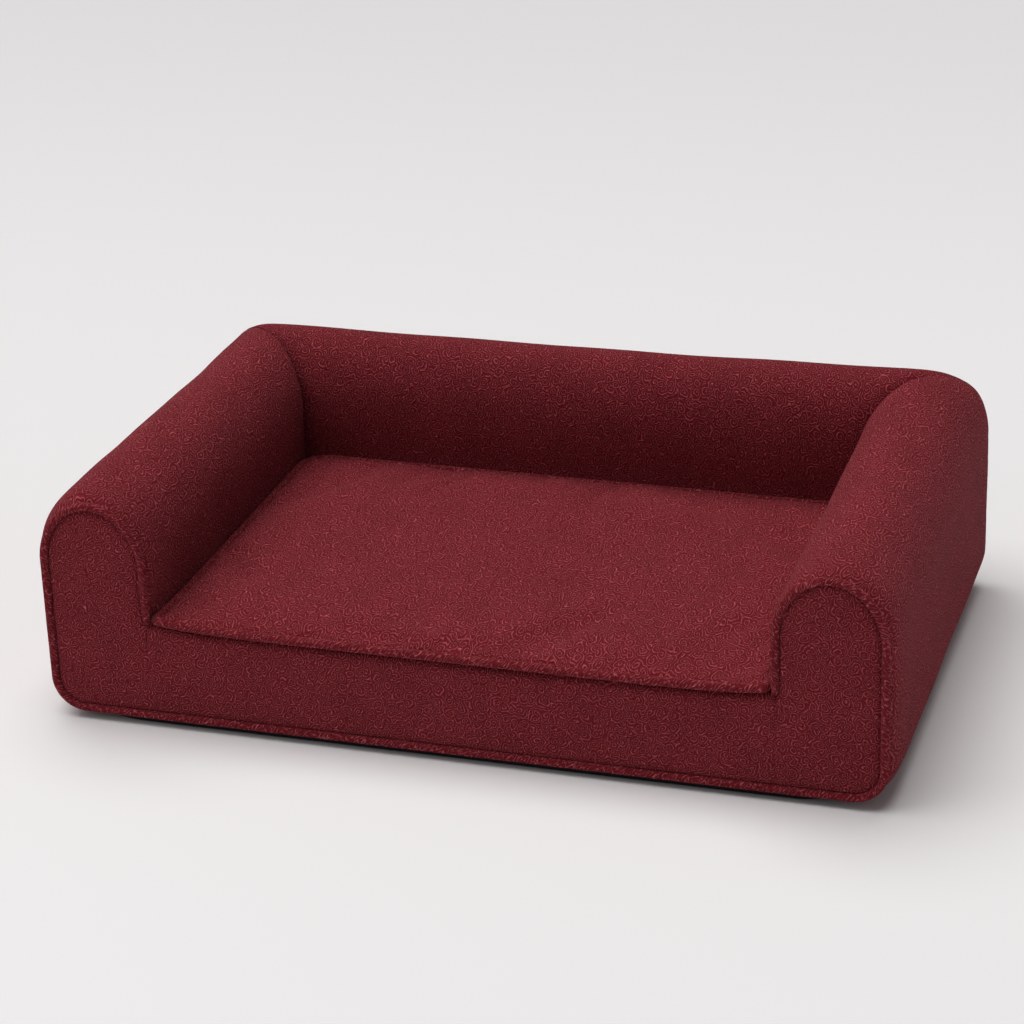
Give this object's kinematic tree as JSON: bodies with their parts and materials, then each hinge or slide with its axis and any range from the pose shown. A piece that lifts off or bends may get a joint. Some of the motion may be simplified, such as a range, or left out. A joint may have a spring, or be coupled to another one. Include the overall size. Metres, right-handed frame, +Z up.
{
  "type": "dog bed with frame",
  "caption": "Sofa-style dog bed: a plywood tray frame under foam bolsters on three sides, a sewn zipped cover with a piped front, and a loose piped cushion that lifts out.",
  "frame": {"origin": "middle of the bounding box in plan, on the floor", "axes": "+Z up, -Y out over the open front where the dog steps in, +X to the right arm as the dog looks out"},
  "size_m": [0.8, 0.4968, 0.228],
  "materials": {
    "plywood": "sanded, uncoated birch plywood",
    "pine": "planed, uncoated pine",
    "screw_zinc": "bright zinc plated steel",
    "foam": "open-cell polyurethane foam, cut faces",
    "memory_foam": "open-cell memory foam, cut faces",
    "cover_cloth": "matt upholstery jacquard, raised rings and scrolls in its own colour",
    "welt_cloth": "the cover's jacquard cut on the bias and folded over cord",
    "lining_cloth": "plain woven polyester",
    "base_cloth": "woven polyester, sewn in flat under the frame",
    "glide_rubber": "moulded black rubber",
    "zip_tape": "woven polyester tape with a nylon coil",
    "zip_metal": "dark lacquered zinc die-casting"
  },
  "bodies": {
    "frame": {"base_board": "plywood", "side_board_left": "plywood", "side_board_right": "plywood", "back_board": "plywood", "front_rail_board": "plywood", "corner_post_front_left": "pine", "corner_post_front_right": "pine", "corner_post_rear_left": "pine", "corner_post_rear_right": "pine", "base_screw_left_front": "screw_zinc", "base_screw_left_rear": "screw_zinc", "front_post_screw_left": "screw_zinc", "rear_post_screw_left_low": "screw_zinc", "rear_post_screw_left_high": "screw_zinc", "rail_screw_left": "screw_zinc", "base_screw_right_front": "screw_zinc", "base_screw_right_rear": "screw_zinc", "front_post_screw_right": "screw_zinc", "rear_post_screw_right_low": "screw_zinc", "rear_post_screw_right_high": "screw_zinc", "rail_screw_right": "screw_zinc", "back_base_screw_left": "screw_zinc", "back_base_screw_right": "screw_zinc", "glide_front_left": "glide_rubber", "glide_rear_left": "glide_rubber", "glide_front_right": "glide_rubber", "glide_rear_right": "glide_rubber", "arm_foam_left": "foam", "arm_foam_right": "foam", "back_foam": "foam", "rail_foam": "foam", "arm_cover_left": "cover_cloth", "arm_cover_right": "cover_cloth", "back_cover": "cover_cloth", "rail_cover": "cover_cloth", "front_panel_left": "cover_cloth", "front_panel_right": "cover_cloth", "front_panel_middle": "cover_cloth", "front_welt": "welt_cloth", "deck_cloth": "lining_cloth", "base_cloth": "base_cloth", "cover_zip_tape_upper": "zip_tape", "cover_zip_tape_lower": "zip_tape", "cover_zip_stop_start": "zip_metal", "cover_zip_stop_end": "zip_metal"},
    "cushion": {"cushion_cover": "cover_cloth", "cushion_underside": "lining_cloth", "cushion_welt": "welt_cloth", "cushion_support_foam": "foam", "cushion_comfort_foam": "memory_foam", "cushion_zip_tape_upper": "zip_tape", "cushion_zip_tape_lower": "zip_tape", "cushion_zip_stop_start": "zip_metal", "cushion_zip_stop_end": "zip_metal"},
    "cover_slider": {"cover_zip_slider": "zip_metal"},
    "cover_pull": {"cover_zip_pull": "zip_metal"},
    "cushion_slider": {"cushion_zip_slider": "zip_metal"}
  },
  "joints": [
    {"name": "cushion_lift", "type": "slide", "parent": "frame", "child": "cushion", "axis": [0, 0, 1], "range_m": [0, 0.23]},
    {"name": "cover_slider_travel", "type": "slide", "parent": "frame", "child": "cover_slider", "axis": [1, 0, 0], "range_m": [0, 0.587]},
    {"name": "cover_pull_swing", "type": "hinge", "parent": "cover_slider", "child": "cover_pull", "pos_m": [-0.2935, 0.24613, 0.054], "axis": [0, 0, 1], "range_deg": [0, 150]},
    {"name": "cushion_slider_travel", "type": "slide", "parent": "cushion", "child": "cushion_slider", "axis": [1, 0, 0], "range_m": [0, 0.407]}
  ]
}
